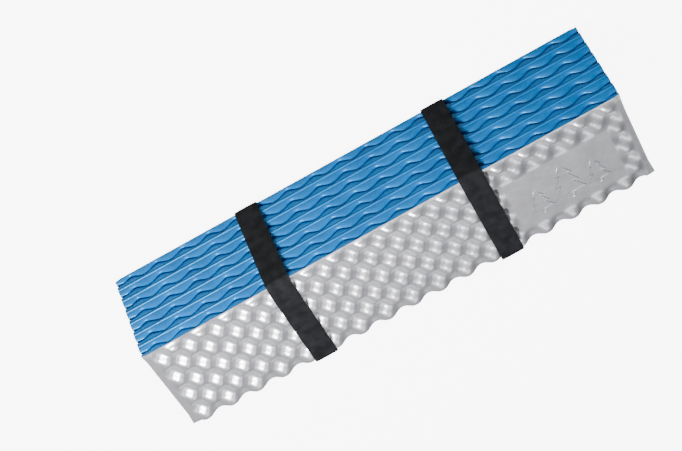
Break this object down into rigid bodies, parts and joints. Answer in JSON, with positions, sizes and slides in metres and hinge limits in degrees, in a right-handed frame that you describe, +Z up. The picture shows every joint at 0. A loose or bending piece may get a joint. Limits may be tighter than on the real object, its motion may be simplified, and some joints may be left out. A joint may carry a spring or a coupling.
{
  "type": "foam sleeping pad",
  "caption": "Accordion-folding closed-cell foam sleeping pad with an egg-crate surface, blue on one face and silver film on the other, folded into a block and held by elastic straps.",
  "frame": {"origin": "on the floor, under the middle of the folded pack", "axes": "+X along the pack, which is the width of the open pad; -Y is the front with the blue folds; +Z up through the stack of panels, silver face on top"},
  "size_m": [0.57, 0.139, 0.135],
  "materials": {
    "foam_blue": "satin closed-cell foam skin",
    "aluminised_film": "satin metallised film with fine wrinkles",
    "crease_foam": "pressed foam",
    "elastic_black": "matte knitted elastic",
    "stitching_thread": "polyester thread"
  },
  "bodies": {
    "fold_01": {"panel_01": "foam_blue", "film_01": "aluminised_film", "crease_01": "crease_foam"},
    "fold_02": {"panel_02": "foam_blue", "film_02": "aluminised_film", "crease_02": "crease_foam"},
    "fold_03": {"panel_03": "foam_blue", "film_03": "aluminised_film", "crease_03": "crease_foam"},
    "fold_04": {"panel_04": "foam_blue", "film_04": "aluminised_film", "crease_04": "crease_foam"},
    "fold_05": {"panel_05": "foam_blue", "film_05": "aluminised_film", "crease_05": "crease_foam"},
    "fold_06": {"panel_06": "foam_blue", "film_06": "aluminised_film", "crease_06": "crease_foam"},
    "fold_07": {"panel_07": "foam_blue", "film_07": "aluminised_film", "crease_07": "crease_foam"},
    "fold_08": {"panel_08": "foam_blue", "film_08": "aluminised_film", "crease_08": "crease_foam"},
    "fold_09": {"panel_09": "foam_blue", "film_09": "aluminised_film", "crease_09": "crease_foam"},
    "fold_10": {"panel_10": "foam_blue", "film_10": "aluminised_film", "crease_10": "crease_foam"},
    "fold_11": {"panel_11": "foam_blue", "film_11": "aluminised_film", "crease_11": "crease_foam"},
    "fold_12": {"panel_12": "foam_blue", "film_12": "aluminised_film", "crease_12": "crease_foam"},
    "fold_13": {"panel_13": "foam_blue", "film_13": "aluminised_film", "crease_13": "crease_foam"},
    "fold_14": {"panel_14": "foam_blue", "film_14": "aluminised_film"},
    "right_strap": {"strap_right": "elastic_black", "strap_right_stitching": "stitching_thread"},
    "left_strap": {"strap_left": "elastic_black", "strap_left_stitching": "stitching_thread"}
  },
  "joints": [
    {"name": "unfold", "type": "hinge", "parent": "fold_01", "child": "fold_02", "pos_m": [0, 0.0655, 0.0135], "axis": [-1, 0, 0], "range_deg": [0, 180], "deforming": ["strap_right", "strap_left", "strap_right_stitching", "strap_left_stitching"]},
    {"name": "crease_02_turn", "type": "hinge", "parent": "fold_02", "child": "fold_03", "pos_m": [0, -0.0655, 0.0225], "axis": [1, 0, 0], "range_deg": [0, 180]},
    {"name": "crease_03_turn", "type": "hinge", "parent": "fold_03", "child": "fold_04", "pos_m": [0, 0.0655, 0.0315], "axis": [-1, 0, 0], "range_deg": [0, 180]},
    {"name": "crease_04_turn", "type": "hinge", "parent": "fold_04", "child": "fold_05", "pos_m": [0, -0.0655, 0.0405], "axis": [1, 0, 0], "range_deg": [0, 180]},
    {"name": "crease_05_turn", "type": "hinge", "parent": "fold_05", "child": "fold_06", "pos_m": [0, 0.0655, 0.0495], "axis": [-1, 0, 0], "range_deg": [0, 180]},
    {"name": "crease_06_turn", "type": "hinge", "parent": "fold_06", "child": "fold_07", "pos_m": [0, -0.0655, 0.0585], "axis": [1, 0, 0], "range_deg": [0, 180]},
    {"name": "crease_07_turn", "type": "hinge", "parent": "fold_07", "child": "fold_08", "pos_m": [0, 0.0655, 0.0675], "axis": [-1, 0, 0], "range_deg": [0, 180]},
    {"name": "crease_08_turn", "type": "hinge", "parent": "fold_08", "child": "fold_09", "pos_m": [0, -0.0655, 0.0765], "axis": [1, 0, 0], "range_deg": [0, 180]},
    {"name": "crease_09_turn", "type": "hinge", "parent": "fold_09", "child": "fold_10", "pos_m": [0, 0.0655, 0.0855], "axis": [-1, 0, 0], "range_deg": [0, 180]},
    {"name": "crease_10_turn", "type": "hinge", "parent": "fold_10", "child": "fold_11", "pos_m": [0, -0.0655, 0.0945], "axis": [1, 0, 0], "range_deg": [0, 180]},
    {"name": "crease_11_turn", "type": "hinge", "parent": "fold_11", "child": "fold_12", "pos_m": [0, 0.0655, 0.1035], "axis": [-1, 0, 0], "range_deg": [0, 180]},
    {"name": "crease_12_turn", "type": "hinge", "parent": "fold_12", "child": "fold_13", "pos_m": [0, -0.0655, 0.1125], "axis": [1, 0, 0], "range_deg": [0, 180]},
    {"name": "crease_13_turn", "type": "hinge", "parent": "fold_13", "child": "fold_14", "pos_m": [0, 0.0655, 0.1215], "axis": [-1, 0, 0], "range_deg": [0, 180]},
    {"name": "strap_right_slide", "type": "slide", "parent": "fold_01", "child": "right_strap", "axis": [1, 0, 0], "range_m": [0, 0.19]},
    {"name": "strap_left_slide", "type": "slide", "parent": "fold_01", "child": "left_strap", "axis": [-1, 0, 0], "range_m": [0, 0.2]}
  ],
  "couplings": [
    {"joint": "crease_02_turn", "follows": "unfold", "ratio": 1},
    {"joint": "crease_03_turn", "follows": "unfold", "ratio": 1},
    {"joint": "crease_04_turn", "follows": "unfold", "ratio": 1},
    {"joint": "crease_05_turn", "follows": "unfold", "ratio": 1},
    {"joint": "crease_06_turn", "follows": "unfold", "ratio": 1},
    {"joint": "crease_07_turn", "follows": "unfold", "ratio": 1},
    {"joint": "crease_08_turn", "follows": "unfold", "ratio": 1},
    {"joint": "crease_09_turn", "follows": "unfold", "ratio": 1},
    {"joint": "crease_10_turn", "follows": "unfold", "ratio": 1},
    {"joint": "crease_11_turn", "follows": "unfold", "ratio": 1},
    {"joint": "crease_12_turn", "follows": "unfold", "ratio": 1},
    {"joint": "crease_13_turn", "follows": "unfold", "ratio": 1}
  ]
}
